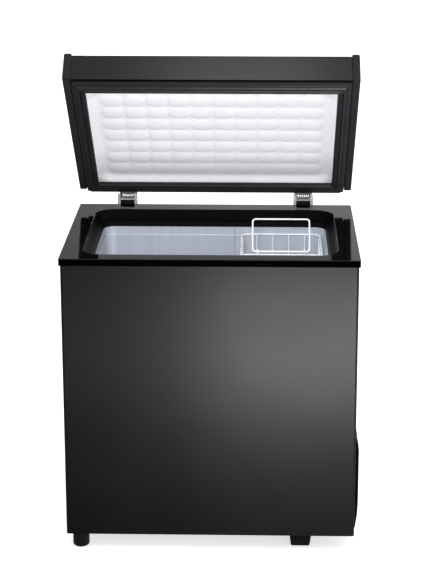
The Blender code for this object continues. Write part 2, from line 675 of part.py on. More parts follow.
def make_hinge(side, x, at, lid_at):
    rear = WRAP_Y + GAP
    top = FRAME_TOP
    make_hinge_bracket(side, x, at)
    make_hinge_arm(side, x, CHEEK_X - HINGE_SHEET - 0.0008, lid_at)
    end = CHEEK_X + 0.0030
    pin = [(0.0050, -end), (0.0050, -CHEEK_X - 0.0004), (0.0030, -CHEEK_X - 0.0004),
           (0.0030, CHEEK_X + 0.0004), (0.0050, CHEEK_X + 0.0004), (0.0050, end)]
    finish("hinge_pin_" + side, turned_along("X", (x, HINGE_Y, HINGE_Z), pin, 12), "zinc", at, 40)
    make_hinge_spring(side, x, at)
    block_y = (LID_RING[3] + 0.0006, DEPTH / 2 + 0.017)
    block = box(((x - 0.0190, x + 0.0190), block_y, (top - 0.012, top + 0.0103)))
    bevel(finish("hinge_stop_" + side, block, "rubber", at), 0.004)
    for number, z in enumerate(SCREW_DROP, 1):
        head = [(0.0021, -0.0012), (0.0021, 0.0023), (0.0045, 0.0023), (0.0036, 0.0050)]
        screw = turned_along("Y", (x, rear, top - z), head, 12)
        finish("hinge_screw_%s_%d" % (side, number), screw, "zinc", at, 40)


def x_circles(span, radius):
    return [[(x, y, z) for y, z, _ in circle((HINGE_Y, HINGE_Z), radius, 0.0, 16)] for x in span]


def make_hinge_arm(side, x, half, at):
    """Arm on the lid's rear wall; its web runs to the axis and its two cheeks hang on the pin."""
    sheet = HINGE_SHEET
    face = DEPTH / 2 + 0.0005 + GAP
    low, high = FRAME_TOP + 0.0155, FRAME_TOP + 0.062
    outline = [(face, high), (face, low)]
    outline += arc((HINGE_Y, HINGE_Z), 0.0105, -135, 60, 6) + [(face + 0.006, high)]
    arm = finish("hinge_arm_" + side, extruded(outline, "X", (x - half, x + half)), "zinc", at)
    inner = (x - half + sheet, x + half - sheet)
    cut(arm, box((inner, (face + sheet, HINGE_Y), (low + sheet, high + 0.1))), at)
    cut(arm, box((inner, (HINGE_Y - 0.009, HINGE_Y + 0.1), (low - 0.1, high + 0.1))), at)
    holes = bmesh.new()
    add_loft(holes, x_circles((x - half - 0.01, x + half + 0.01), 0.0033), True)
    return cut(arm, holes, at)


def make_hinge_spring(side, x, at):
    turns, steps = 5, 10
    reach, pitch = 0.0056, 0.0056
    route = []
    for i in range(turns * steps + 1):
        angle = 2 * math.pi * i / steps
        along = x + pitch * (i / steps - turns / 2)
        route.append((along, HINGE_Y + reach * math.cos(angle), HINGE_Z + reach * math.sin(angle)))
    return tube("hinge_spring_" + side, route, 0.0011, "zinc", at, sides=6)


# ---------------------------------------------------------------- lid, drawn closed
CAP_TOP = FRAME_TOP + CAP_RIM + CAP_HEIGHT
SHELL_TOP = CAP_TOP - CAP_PROUD
SHELL_FRONT = -DEPTH / 2 + CAP_PROUD
SHELL_REAR = DEPTH / 2 + 0.0005
SHELL_X = WIDTH / 2 - CAP_WIDTH - GAP
LID_RING = (-0.353, 0.353, -0.2465, DEPTH / 2 + 0.0014, 0.004)
LID_STEP = (-0.3455, 0.3455, -0.2360, 0.2582, 0.005)
GASKET = (-0.3337, 0.3337, -0.2200, 0.2367, 0.014)
LINER_EDGE = inset(GASKET, GASKET_WIDTH + GAP)
LID_FIELD = (-0.2970, 0.2970, -0.1790, 0.2080, 0.020)


def make_lid_shell(at):
    """Steel skin: top, front and rear in one bent sheet."""
    low, top = FRAME_TOP + CAP_RIM, SHELL_TOP
    radius, sheet = 0.005, SHEET
    front, rear = SHELL_FRONT, SHELL_REAR
    rear_low = FRAME_TOP + 0.0148
    def skin(offset):
        reach = radius - offset
        front_bend = arc((front + radius, top - radius), reach, 180, 90, 4)
        rear_bend = arc((rear - radius, top - radius), reach, 90, 0, 4)
        return front_bend + rear_bend
    outer = [(front, low)] + skin(0.0) + [(rear, rear_low)]
    inner = [(rear - sheet, rear_low)] + skin(sheet)[::-1]
    flange = [(front + sheet, low + sheet), (front + 0.007, low + sheet), (front + 0.007, low)]
    skin_prism = extruded(outer + inner + flange, "X", (-SHELL_X, SHELL_X))
    return finish("lid_shell", skin_prism, "black_steel", at, 30)


def make_lid_caps(at):
    low = FRAME_TOP + CAP_RIM
    y = (-DEPTH / 2, DEPTH / 2)
    for side, sign in (("left", -1), ("right", 1)):
        def span(near, far):
            return sorted((sign * (WIDTH / 2 - near), sign * (WIDTH / 2 - far)))
        block = box((span(CAP_WIDTH, 0.0), y, (low, CAP_TOP)))
        cap = bevel(finish("lid_cap_" + side, block, "grey_black", at), 0.0035)
        room_y = (y[0] + 0.0033, y[1] - 0.003)
        room = box((span(CAP_WIDTH + 0.01, 0.003), room_y, (low + 0.003, SHELL_TOP - 0.0003)))
        cut(cap, room, at)


def make_lid_inner_frame(at):
    z = FRAME_TOP
    seat = (-SHELL_X + GAP, SHELL_X - GAP, SHELL_FRONT + SHEET + GAP, SHELL_REAR - SHEET - GAP, 0.002)
    sections = [
        (seat, z + 0.0140), (seat, z + 0.0125), (LID_RING, z + 0.0124),
        (LID_RING, z + 0.0070), (inset(LID_RING, 0.0015), z + 0.0055),
        (inset(LID_STEP, -0.0015), z + 0.0055), (LID_STEP, z + 0.0012), (inset(GASKET, -0.0020), z + 0.0010),
        (inset(GASKET, -GAP), z + 0.0040), (inset(GASKET, -GAP), z + 0.0140),
    ]
    return finish("lid_inner_frame", rect_loft(sections, 4, False), "grey_black", at, 25)


def make_lid_gasket(at):
    z = FRAME_TOP
    half = GASKET_WIDTH / 2
    sections = [
        (GASKET, z + 0.0122), (GASKET, z + 0.0035), (inset(GASKET, 0.003), z + 0.0006),
        (inset(GASKET, half), z + 0.0003), (inset(GASKET, GASKET_WIDTH - 0.003), z + 0.0006),
        (inset(GASKET, GASKET_WIDTH), z + 0.0035), (inset(GASKET, GASKET_WIDTH), z + 0.0122),
    ]
    return finish("lid_gasket", rect_loft(sections, 4, False), "rubber", at, 40)


def make_lid_liner(at):
    z = FRAME_TOP
    rim, field, sheet = z + 0.0125, z + FIELD_RISE, 0.0012
    flange = inset(GASKET, 0.0006)
    sections = [
        (inset(LID_FIELD, 0.004), field), (LID_FIELD, field - 0.0010), (LINER_EDGE, rim), (flange, rim),
        (flange, rim + sheet), (inset(LINER_EDGE, 0.0007), rim + sheet),
        (inset(LID_FIELD, 0.0007), field + sheet - 0.0010), (inset(LID_FIELD, 0.0047), field + sheet),
    ]
    return finish("lid_liner", rect_loft(sections, 4), "white_plastic", at, 25)


def make_lid_foam(at):
    z = FRAME_TOP
    rim, field, lift = z + 0.0140, z + FIELD_RISE + 0.0002, 0.0012 + GAP
    block = (-SHELL_X + GAP, SHELL_X - GAP, SHELL_FRONT + SHEET + GAP, SHELL_REAR - SHEET - GAP, 0.004)
    sections = [
        (inset(LID_FIELD, 0.0050), field + lift), (inset(LID_FIELD, 0.0010), field + lift - 0.0010),
        (inset(LINER_EDGE, 0.0010), rim + GAP + 0.0004), (block, rim + GAP + 0.0004),
        (block, SHELL_TOP - 0.006), (inset(block, 0.006), SHELL_TOP - SHEET - GAP),
    ]
    return finish("lid_foam", rect_loft(sections, 3), "foam", at)


# ---------------------------------------------------------------- basket
def basket_hoop(distance, z, radius):
    left, right, front, rear = BASKET
    corners = [(right - distance[0], rear - distance[1], z), (left + distance[0], rear - distance[1], z),
               (left + distance[0], front + distance[1], z), (right - distance[0], front + distance[1], z)]
    return fillet(corners, radius, 3, closed=True)


def basket_routes():
    """The basket's middle hoop, U-shaped wires and crossbar, as (route, closed) pairs."""
    left, right, front, rear = BASKET
    body_x, body_y = 0.0048, 0.0105
    low = BASKET_RIM - BASKET_HEIGHT
    routes = [(basket_hoop((body_x, body_y), BASKET_RIM - 0.070, 0.018), True)]
    near, far = front + THICK_WIRE, rear - THICK_WIRE
    for i in range(1, 5):
        x = left + (right - left) * i / 5
        inner_near, inner_far = front + body_y + 0.0012, rear - body_y - 0.0012
        route = [(x, near, BASKET_RIM), (x, inner_near, BASKET_RIM), (x, inner_near, low),
                 (x, inner_far, low), (x, inner_far, BASKET_RIM), (x, far, BASKET_RIM)]
        routes.append((fillet(route, 0.004, 1), False))
    for i in range(1, 9):
        y = front + (rear - front) * i / 9
        inner_left, inner_right = left + body_x + 0.0012, right - body_x - 0.0012
        bottom = low + 0.0018
        route = [(left + THICK_WIRE, y, BASKET_RIM), (inner_left, y, BASKET_RIM), (inner_left, y, bottom),
                 (inner_right, y, bottom), (inner_right, y, BASKET_RIM), (right - THICK_WIRE, y, BASKET_RIM)]
        routes.append((fillet(route, 0.003, 1), False))
    bar = HANDLE_Z - HANDLE_BAR
    routes.append(crossbar_route(left + body_x + 0.0012, right - body_x - 0.0012, bar))
    routes += [(eye_route(x, bar), True) for x in (HANDLE_X[0] + 0.014, HANDLE_X[1] - 0.014)]
    return routes


def crossbar_route(left, right, bar):
    """From side to side; each end turns along the basket's side to meet its upright wires."""
    reach = 0.012
    corners = [(left, HANDLE_Y + reach, bar), (left, HANDLE_Y, bar), (right, HANDLE_Y, bar),
               (right, HANDLE_Y + reach, bar)]
    return fillet(corners, 0.004, 2), False


def eye_route(x, bar):
    """A loop that stands on the crossbar and holds the handle's lower wire."""
    room = THICK_WIRE + WIRE + 0.0005
    corners = [(x, HANDLE_Y - room, bar), (x, HANDLE_Y + room, bar), (x, HANDLE_Y + room, HANDLE_Z + room),
               (x, HANDLE_Y - room, HANDLE_Z + room)]
    return fillet(corners, 0.0030, 2, closed=True)


def add_wire(bm, route, radius, closed, sides=6):
    """A round wire: a ring of points at each corner of the route, square to the bend."""
    route = [Vector(point) for point in route]
    count = len(route)
    upright = abs((route[1] - route[0]).normalized().z) > 0.9
    side = Vector((0.0, 1.0, 0.0)) if upright else Vector((0.0, 0.0, 1.0))
    loops = []
    for i, point in enumerate(route):
        ahead = route[(i + 1) % count] - point if closed or i < count - 1 else point - route[i - 1]
        behind = point - route[i - 1] if closed or i > 0 else ahead
        along = (ahead.normalized() + behind.normalized()).normalized()
        stretch = 1.0 / max(along.dot(ahead.normalized()), 0.5)
        side = (side - along * side.dot(along)).normalized()
        across = along.cross(side)
        bend = (ahead.normalized() - behind.normalized())
        loop = []
        for k in range(sides):
            turn = 2 * math.pi * (k + 0.5) / sides
            offset = side * math.cos(turn) + across * math.sin(turn)
            if bend.length > 1e-6:
                outward = bend.normalized()
                offset += outward * offset.dot(outward) * (stretch - 1.0)
            loop.append(point + offset * radius)
        loops.append(loop)
    add_loft(bm, loops, not closed)


def make_basket(at):
    """Every wire crosses the next by part of its thickness, as welded wires do."""
    rim = bmesh.new()
    add_wire(rim, basket_hoop((THICK_WIRE, THICK_WIRE), BASKET_RIM, 0.022), THICK_WIRE, True)
    basket = finish("basket", rim, "white_wire", at, 60)
    for number, (route, closed) in enumerate(basket_routes()):
        wire = bmesh.new()
        add_wire(wire, route, WIRE, closed)
        combine(basket, cutter("basket_wire_%d" % number, wire, at), "UNION")
    return basket


def make_handle(at):
    left, right = HANDLE_X
    reach_y = math.sin(HANDLE_LEAN) * HANDLE_REACH
    reach_z = math.cos(HANDLE_LEAN) * HANDLE_REACH
    top_y, top_z = HANDLE_Y + reach_y, HANDLE_Z + reach_z
    corners = [(left, HANDLE_Y, HANDLE_Z), (right, HANDLE_Y, HANDLE_Z),
               (right, top_y, top_z), (left, top_y, top_z)]
    route = fillet(corners, 0.008, 4, closed=True)
    return tube("basket_handle", route, THICK_WIRE, "white_wire", at, closed=True)


# ---------------------------------------------------------------- assembly
def carrier(name, place, cabinet, turn=(0.0, 0.0, 0.0), parent=None):
    """An empty on a joint's axis, with the place where pieces drawn in cabinet coordinates hang."""
    origin = Vector(place)
    offset = origin if parent is None else origin - Vector(parent[1])
    made = empty(name, offset, turn, cabinet if parent is None else parent[0])
    return made, origin


def main():
    for old in list(bpy.data.objects):
        bpy.data.objects.remove(old, do_unlink=True)
    cabinet = empty("cabinet_origin", (0.0, CABINET_Y, 0.0))
    fixed = (cabinet, Vector((0.0, 0.0, 0.0)))
    lid = carrier("lid_axis", (0.0, HINGE_Y, HINGE_Z), cabinet, (-LID_OPEN, 0.0, 0.0))
    basket = carrier("basket_axis", (0.0, 0.0, BASKET_RIM), cabinet)
    handle = carrier("handle_axis", (0.0, HANDLE_Y, HANDLE_Z), cabinet, parent=basket)
    knob = carrier("knob_axis", (KNOB[0], COVER_Y, KNOB[1]), cabinet)
    plug = carrier("plug_axis", (*DRAIN, TUB_FLOOR), cabinet)
    cap = carrier("cap_axis", (*DRAIN, 0.012), cabinet)
    feet = {place: carrier("foot_axis_" + place, (FOOT_X, y, 0.0), cabinet)
            for place, y in zip(("front", "rear"), FOOT_Y)}

    make_outer_wrap(fixed)
    make_rear_panel(fixed)
    make_base_panel(fixed)
    make_top_frame(fixed)
    make_inner_liner(fixed)
    make_cabinet_foam(fixed)
    make_coils(fixed)
    make_base_plate(fixed)
    make_compressor(fixed)
    make_compressor_mounts(fixed)
    make_bay_fittings(fixed)
    make_bay_cover(fixed)
    make_controls(fixed, knob)
    make_side_grille(fixed)
    make_feet(feet, fixed)
    make_drain(fixed, plug, cap)
    for side, x in (("left", -HINGE_X), ("right", HINGE_X)):
        make_hinge(side, x, fixed, lid)
    make_lid_shell(lid)
    make_lid_caps(lid)
    make_lid_inner_frame(lid)
    make_lid_gasket(lid)
    make_lid_liner(lid)
    make_lid_foam(lid)
    make_basket(basket)
    make_handle(handle)


main()
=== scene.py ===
import json
import math

import bmesh
import bpy
from mathutils import Matrix, Vector


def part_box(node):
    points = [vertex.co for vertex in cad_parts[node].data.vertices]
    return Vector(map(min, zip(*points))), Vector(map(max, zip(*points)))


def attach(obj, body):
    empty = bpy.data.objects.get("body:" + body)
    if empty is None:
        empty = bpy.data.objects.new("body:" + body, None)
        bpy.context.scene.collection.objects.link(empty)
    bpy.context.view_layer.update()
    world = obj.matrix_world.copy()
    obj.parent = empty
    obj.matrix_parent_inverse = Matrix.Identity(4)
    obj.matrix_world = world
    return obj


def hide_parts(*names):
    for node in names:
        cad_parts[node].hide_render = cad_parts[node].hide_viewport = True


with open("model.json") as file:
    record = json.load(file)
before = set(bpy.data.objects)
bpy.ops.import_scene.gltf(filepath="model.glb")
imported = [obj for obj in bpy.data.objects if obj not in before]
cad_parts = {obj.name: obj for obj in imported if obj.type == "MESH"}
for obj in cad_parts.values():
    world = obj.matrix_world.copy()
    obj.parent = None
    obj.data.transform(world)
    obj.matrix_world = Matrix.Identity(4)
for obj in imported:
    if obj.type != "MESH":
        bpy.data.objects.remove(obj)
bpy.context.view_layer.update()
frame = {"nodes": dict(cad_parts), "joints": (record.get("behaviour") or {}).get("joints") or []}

# ------------------------------------------------------------------ places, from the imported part
JOINTS = {j["name"]: j for j in frame["joints"]}
HINGE = Vector(JOINTS["lid_hinge"]["pos_m"])
LID_OPEN = math.radians(-JOINTS["lid_hinge"]["range_deg"][0])
GRIP = Vector(JOINTS["basket_handle_swing"]["pos_m"])
FRAME_LOW, FRAME_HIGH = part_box("top_frame")
TOP = FRAME_HIGH.z
MIDDLE_Y = (FRAME_LOW.y + FRAME_HIGH.y) / 2
DEPTH = FRAME_HIGH.y - FRAME_LOW.y


def closed_to_open():
    """Carries a piece drawn on the closed lid to where the open lid is at rest."""
    turn = Matrix.Rotation(-LID_OPEN, 4, "X")
    return Matrix.Translation(HINGE) @ turn @ Matrix.Translation(-HINGE)


# ------------------------------------------------------------------ node materials
NOISE_ROUGHNESS = 0.55


class Graph:
    """A few short calls for building a material's nodes."""

    def __init__(self, name):
        self.material = bpy.data.materials.new(name)
        self.material.use_nodes = True
        self.tree = self.material.node_tree
        self.shader = self.tree.nodes["Principled BSDF"]

    def node(self, kind, settings=None, **inputs):
        """A new node; an input's name has _ for each space, and its value may be a socket."""
        made = self.tree.nodes.new(kind)
        for key, value in (settings or {}).items():
            setattr(made, key, value)
        for key, value in inputs.items():
            self.feed(made, key.replace("_", " "), value)
        return made

    def feed(self, node, key, value):
        """Links a socket to the node's input, or sets the input to a value."""
        socket = node.inputs[int(key)] if key.isdigit() else node.inputs[key]
        if isinstance(value, bpy.types.NodeSocket):
            self.tree.links.new(value, socket)
        else:
            socket.default_value = value

    def place(self, scale=(1.0, 1.0, 1.0)):
        """Where the point lies on its object, in metres."""
        found = self.node("ShaderNodeTexCoord").outputs["Object"]
        return self.node("ShaderNodeMapping", Vector=found, Scale=scale).outputs["Vector"]

    def noise(self, scale, detail, stretch=(1.0, 1.0, 1.0)):
        """Fractal noise; a smaller number in stretch draws it out along that axis."""
        made = self.node("ShaderNodeTexNoise", Vector=self.place(stretch), Scale=scale,
                         Detail=detail)
        made.inputs["Roughness"].default_value = NOISE_ROUGHNESS
        return made.outputs["Fac"]

    def span(self, value, low, high, start=0.3, stop=0.7):
        """The value's range from start to stop, stretched to run from low to high."""
        made = self.node("ShaderNodeMapRange", Value=value)
        made.inputs["From Min"].default_value = start
        made.inputs["From Max"].default_value = stop
        made.inputs["To Min"].default_value = low
        made.inputs["To Max"].default_value = high
        return made.outputs["Result"]

    def math(self, operation, a, b=0.0):
        """One sum; b is not used where the operation takes one value."""
        made = self.node("ShaderNodeMath", {"operation": operation})
        self.feed(made, "0", a)
        self.feed(made, "1", b)
        return made.outputs["Value"]

    def blend(self, factor, first, second):
        """The first colour at factor 0, the second at 1."""
        made = self.node("ShaderNodeMix", {"data_type": "RGBA"})
        self.feed(made, "0", factor)
        self.feed(made, "6", first)
        self.feed(made, "7", second)
        return made.outputs[2]

    def bump(self, height, distance, under=None):
        """Relief as deep as distance, in metres, on top of another bump's normal."""
        made = self.node("ShaderNodeBump", Height=height, Distance=distance, Strength=1.0)
        if under is not None:
            self.feed(made, "Normal", under)
        return made.outputs["Normal"]

    def set(self, **inputs):
        """Sets or links the shader's inputs, and gives the finished material."""
        for key, value in inputs.items():
            self.feed(self.shader, key.replace("_", " "), value)
        return self.material


def rgb(red, green, blue):
    """A colour as seen on a screen, 0 to 255, as linear light."""
    def linear(value):
        value /= 255.0
        return value / 12.92 if value <= 0.04045 else ((value + 0.055) / 1.055) ** 2.4
    return (linear(red), linear(green), linear(blue), 1.0)


def shade(colour, factor):
    """The colour made lighter or darker."""
    return (*(min(1.0, part * factor) for part in colour[:3]), 1.0)


def painted_steel(name, colour, roughness, level):
    """Powder coat: a fine orange peel, and faint broad patches in gloss and tone."""
    peel = 0.00006
    g = Graph(name)
    patches = g.noise(3.5, 2.0)
    grain = g.noise(700.0, 2.0)
    tone = g.blend(g.span(patches, 0.0, 1.0), shade(colour, 0.90), shade(colour, 1.10))
    tone = g.blend(g.span(grain, 0.0, 0.35), tone, shade(colour, 1.45))
    broad = g.span(patches, roughness - 0.03, roughness + 0.03)
    gloss = g.math("ADD", broad, g.span(grain, -0.02, 0.02))
    normal = g.bump(g.noise(420.0, 3.0), peel)
    return g.set(Base_Color=tone, Roughness=gloss, Specular_IOR_Level=level, Normal=normal)


def gloss_plastic(name, colour, roughness, level, satin_below):
    """Moulded gloss with long shallow waves and hair scratches.

    It is satin inside the opening's collar: below the height given and away from the outer edges.
    """
    fade, edge_start, edge_stop, added_roughness = 0.001, 0.022, 0.018, 0.42
    g = Graph(name)
    where = g.node("ShaderNodeSeparateXYZ", Vector=g.place())
    satin = g.span(where.outputs["Z"], 1.0, 0.0, satin_below - fade, satin_below)
    for axis, low, high in (("X", FRAME_LOW.x, FRAME_HIGH.x), ("Y", FRAME_LOW.y, FRAME_HIGH.y)):
        out = g.math("ABSOLUTE", g.math("SUBTRACT", where.outputs[axis], (low + high) / 2))
        half = (high - low) / 2
        inside = g.span(out, 1.0, 0.0, half - edge_start, half - edge_stop)
        satin = g.math("MULTIPLY", satin, inside)
    wave = g.noise(16.0, 1.0)
    hair = g.noise(60.0, 4.0, stretch=(1.0, 14.0, 14.0))
    broad = g.span(wave, roughness - 0.02, roughness + 0.03)
    gloss = g.math("ADD", broad, g.span(hair, 0.0, 0.05, 0.5, 0.8))
    tone = g.blend(g.span(wave, 0.0, 1.0), shade(colour, 0.9), shade(colour, 1.15))
    gloss = g.math("ADD", gloss, g.math("MULTIPLY", satin, added_roughness))
    normal = g.bump(hair, 0.000008, under=g.bump(wave, 0.00010))
    return g.set(Base_Color=tone, Roughness=gloss, Specular_IOR_Level=level, Normal=normal)


def moulded(name, colour, roughness, level=0.35):
    """Moulded plastic with a fine spark-eroded grain."""
    grain, depth = 900.0, 0.00005
    g = Graph(name)
    spark = g.node("ShaderNodeTexVoronoi", Vector=g.place(), Scale=grain).outputs["Distance"]
    broad = g.noise(9.0, 2.0)
    tone = g.blend(g.span(broad, 0.0, 1.0), shade(colour, 0.90), shade(colour, 1.10))
    gloss = g.span(broad, roughness - 0.04, roughness + 0.04)
    normal = g.bump(spark, depth, under=g.bump(g.noise(220.0, 2.0), depth))
    return g.set(Base_Color=tone, Roughness=gloss, Specular_IOR_Level=level, Normal=normal)


def white_plastic(name, colour):
    """Vacuum-formed sheet: satin, slightly clouded, with a very fine leather grain."""
    g = Graph(name)
    cloud = g.noise(7.0, 3.0)
    tone = g.blend(g.span(cloud, 0.0, 1.0), shade(colour, 0.97), shade(colour, 1.0))
    gloss = g.span(cloud, 0.36, 0.46)
    grain = g.node("ShaderNodeTexVoronoi", Vector=g.place(), Scale=520.0).outputs["Distance"]
    normal = g.bump(grain, 0.00004, under=g.bump(g.noise(60.0, 2.0), 0.00006))
    return g.set(Base_Color=tone, Roughness=gloss, Specular_IOR_Level=0.45, Normal=normal)


def coated_sheet(name, colour, seam_x, painted_highlight_x):
    """Painted aluminium sheet: rolling lines that run upwards, faint stucco and one folded seam.

    A painted highlight lightens a vertical band over the liner's corner bend, and a painted shade
    darkens the corner beside it.
    """
    # the painted shade sits in the corner itself, 23.5 mm to the left of the painted highlight
    painted_shade_x = painted_highlight_x - 0.0235
    g = Graph(name)
    rolling = g.noise(90.0, 4.0, stretch=(1.0, 1.0, 0.03))
    stucco = g.noise(260.0, 3.0)
    tone = g.blend(g.span(rolling, 0.0, 1.0), shade(colour, 0.96), shade(colour, 1.04))
    across = g.node("ShaderNodeSeparateXYZ", Vector=g.place()).outputs["X"]
    from_seam = g.math("ABSOLUTE", g.math("SUBTRACT", across, seam_x))
    seam = g.span(from_seam, 1.0, 0.0, 0.0008, 0.0030)
    tone = g.blend(g.math("MULTIPLY", seam, 0.60), tone, shade(colour, 0.55))
    # painted highlight: a lighter vertical band over the corner's bend, where it would catch the
    # light
    from_painted_highlight = g.math("ABSOLUTE", g.math("SUBTRACT", across, painted_highlight_x))
    tone = g.blend(g.span(from_painted_highlight, 1.0, 0.0, 0.002, 0.012), tone, shade(colour, 1.17))
    # painted shade: a dark vertical band in the corner, where shade gathers between the walls
    from_painted_shade = g.math("ABSOLUTE", g.math("SUBTRACT", across, painted_shade_x))
    tone = g.blend(g.span(from_painted_shade, 1.0, 0.0, 0.001, 0.009), tone, shade(colour, 0.60))
    gloss = g.math("ADD", g.span(rolling, 0.30, 0.38), g.span(stucco, -0.02, 0.03))
    fine = g.bump(stucco, 0.00006, under=g.bump(rolling, 0.00004))
    normal = g.bump(seam, 0.0004, under=fine)
    return g.set(Base_Color=tone, Roughness=gloss, Metallic=0.25, Specular_IOR_Level=0.5,
                 Normal=normal)


def coated_wire(name, colour):
    """Epoxy-dipped wire: thick, glossy and slightly lumpy."""
    g = Graph(name)
    lumps = g.noise(140.0, 2.0)
    tone = g.blend(g.span(g.noise(25.0, 2.0), 0.0, 1.0), shade(colour, 0.94), colour)
    gloss = g.span(lumps, 0.22, 0.34)
    normal = g.bump(lumps, 0.00012)
    return g.set(Base_Color=tone, Roughness=gloss, Specular_IOR_Level=0.5, Normal=normal)


def zinc(name, colour, roughness=0.34):
    """Zinc-plated sheet: small crystal patches and fine rolling scratches."""
    g = Graph(name)
    spangle = g.node("ShaderNodeTexVoronoi", Vector=g.place(), Scale=260.0).outputs["Color"]
    flake = g.node("ShaderNodeSeparateColor", Color=spangle).outputs["Red"]
    scratch = g.noise(500.0, 3.0, stretch=(1.0, 1.0, 0.08))
    tone = g.blend(flake, shade(colour, 0.82), shade(colour, 1.10))
    patchy = g.span(flake, roughness - 0.06, roughness + 0.08, 0.0, 1.0)
    gloss = g.math("ADD", patchy, g.span(scratch, -0.03, 0.05))
    normal = g.bump(scratch, 0.00003)
    return g.set(Base_Color=tone, Metallic=0.85, Roughness=gloss, Normal=normal)


def rubber(name, colour, roughness=0.62):
    """Matt rubber with a pale bloom in places."""
    g = Graph(name)
    bloom = g.noise(30.0, 4.0)
    fine = g.noise(900.0, 2.0)
    tone = g.blend(g.span(bloom, 0.0, 1.0), colour, shade(colour, 1.7))
    gloss = g.span(bloom, roughness - 0.08, roughness + 0.08)
    normal = g.bump(fine, 0.00005)
    return g.set(Base_Color=tone, Roughness=gloss, Specular_IOR_Level=0.3, Normal=normal)


def copper(name, colour):
    """Drawn tube with darker, duller patches where it has oxidised."""
    g = Graph(name)
    stain = g.noise(45.0, 5.0)
    tone = g.blend(g.span(stain, 0.0, 1.0), colour, shade(colour, 0.45))
    gloss = g.span(stain, 0.22, 0.50)
    normal = g.bump(g.noise(300.0, 3.0), 0.00003)
    return g.set(Base_Color=tone, Metallic=0.9, Roughness=gloss, Normal=normal)


def foam(name, colour):
    """Poured foam: open cells with a harder yellowed skin in places."""
    g = Graph(name)
    cells = g.node("ShaderNodeTexVoronoi", Vector=g.place(), Scale=420.0).outputs["Distance"]
    skin = g.noise(12.0, 3.0)
    tone = g.blend(g.span(skin, 0.0, 1.0), colour, shade(colour, 0.75))
    normal = g.bump(cells, 0.0004, under=g.bump(skin, 0.0006))
    return g.set(Base_Color=tone, Roughness=0.9, Specular_IOR_Level=0.1, Normal=normal)


# ------------------------------------------------------------------ mesh helpers
def piece(name, bm, material, body, smooth, transform=None):
    """A finished mesh that rides on its body; edges sharper than smooth degrees stay sharp."""
    mesh = bpy.data.meshes.new(name)
    bmesh.ops.recalc_face_normals(bm, faces=bm.faces)
    bm.to_mesh(mesh)
    bm.free()
    mesh.shade_smooth()
    mesh.set_sharp_from_angle(angle=math.radians(smooth))
    if transform is not None:
        mesh.transform(transform)
    made = bpy.data.objects.new(name, mesh)
    made.data.materials.append(material)
    bpy.context.scene.collection.objects.link(made)
    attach(made, body)
    return made


def inset(rect, distance):
    """The rounded rectangle (left, right, front, rear, corner radius), made smaller."""
    left, right, front, rear, radius = rect
    least_radius = 0.0008
    return (left + distance, right - distance, front + distance, rear - distance,
            max(radius - distance, least_radius))


def rect_points(rect, z):
    """Once round a rounded rectangle, from its right rear corner."""
    steps = 8
    left, right, front, rear, radius = rect
    corners = ((right, rear, 0), (left, rear, 1), (left, front, 2), (right, front, 3))
    points = []
    for x, y, quarter in corners:
        centre_x = x - math.copysign(radius, x - (left + right) / 2)
        centre_y = y - math.copysign(radius, y - (front + rear) / 2)
        for step in range(steps + 1):
            turn = math.pi / 2 * (quarter + step / steps)
            points.append((centre_x + radius * math.cos(turn),
                           centre_y + radius * math.sin(turn), z))
    return points


def rect_ring(sections):
    """A closed ring of rounded rectangles: (rectangle, z) pairs once round its section."""
    bm = bmesh.new()
    loops = [[bm.verts.new(p) for p in rect_points(rect, z)] for rect, z in sections]
    for low, high in zip(loops, loops[1:] + loops[:1]):
        for i in range(len(low)):
            j = (i + 1) % len(low)
            bm.faces.new((low[i], low[j], high[j], high[i]))
    return bm


def fillet(points, radius, steps, closed=False):
    """The route through the points, with each of its corners rounded in that many steps."""
    points = [Vector(point) for point in points]
    count = len(points)
    route = []
    for i, corner in enumerate(points):
        if not closed and i in (0, count - 1):
            route.append(corner)
            continue
        back = (points[i - 1] - corner).normalized()
        ahead = (points[(i + 1) % count] - corner).normalized()
        half = back.angle(ahead) / 2
        reach = radius / math.tan(half)
        centre = corner + (back + ahead).normalized() * radius / math.sin(half)
        start = (corner + back * reach - centre).normalized()
        stop = (corner + ahead * reach - centre).normalized()
        route += [centre + start.slerp(stop, step / steps) * radius
                  for step in range(steps + 1)]
    return route


def add_wire(bm, route, radius, closed, sides=12):
    """A round wire along the route; an open one gets its two ends capped."""
    count = len(route)
    upright = abs((route[1] - route[0]).normalized().z) > 0.9
    side = Vector((0.0, 1.0, 0.0)) if upright else Vector((0.0, 0.0, 1.0))
    loops = []
    for i, point in enumerate(route):
        onward = closed or i < count - 1
        ahead = route[(i + 1) % count] - point if onward else point - route[i - 1]
        behind = point - route[i - 1] if closed or i > 0 else ahead
        along = (ahead.normalized() + behind.normalized()).normalized()
        side = (side - along * side.dot(along)).normalized()
        across = along.cross(side)
        turns = [2 * math.pi * k / sides for k in range(sides)]
        spokes = [side * math.cos(turn) + across * math.sin(turn) for turn in turns]
        loops.append([bm.verts.new(point + spoke * radius) for spoke in spokes])
    pairs = list(zip(loops, loops[1:]))
    if closed:
        pairs.append((loops[-1], loops[0]))
    else:
        bm.faces.new(loops[0])
        bm.faces.new(loops[-1])
    for low, high in pairs:
        for k in range(sides):
            m = (k + 1) % sides
            bm.faces.new((low[k], low[m], high[m], high[k]))


# ------------------------------------------------------------------ camera, light and floor
def make_camera():
    """The photo's view, from a perspective fit of the freezer's corners."""
    tilt, pan = 0.2517, 0.0218
    to_right, to_front, above_top = 0.131236, 4.176837, 1.215288
    data = bpy.data.cameras.new("view")
    data.sensor_width = 36.0
    data.lens = 103.03
    data.shift_x = -0.02205
    data.shift_y = -0.19234
    data.clip_end = 60.0
    made = bpy.data.objects.new("view", data)
    made.location = (to_right, MIDDLE_Y - to_front, TOP + above_top)
    made.rotation_euler = (math.pi / 2 - tilt, 0.0, pan)
    bpy.context.scene.collection.objects.link(made)
    bpy.context.scene.camera = made


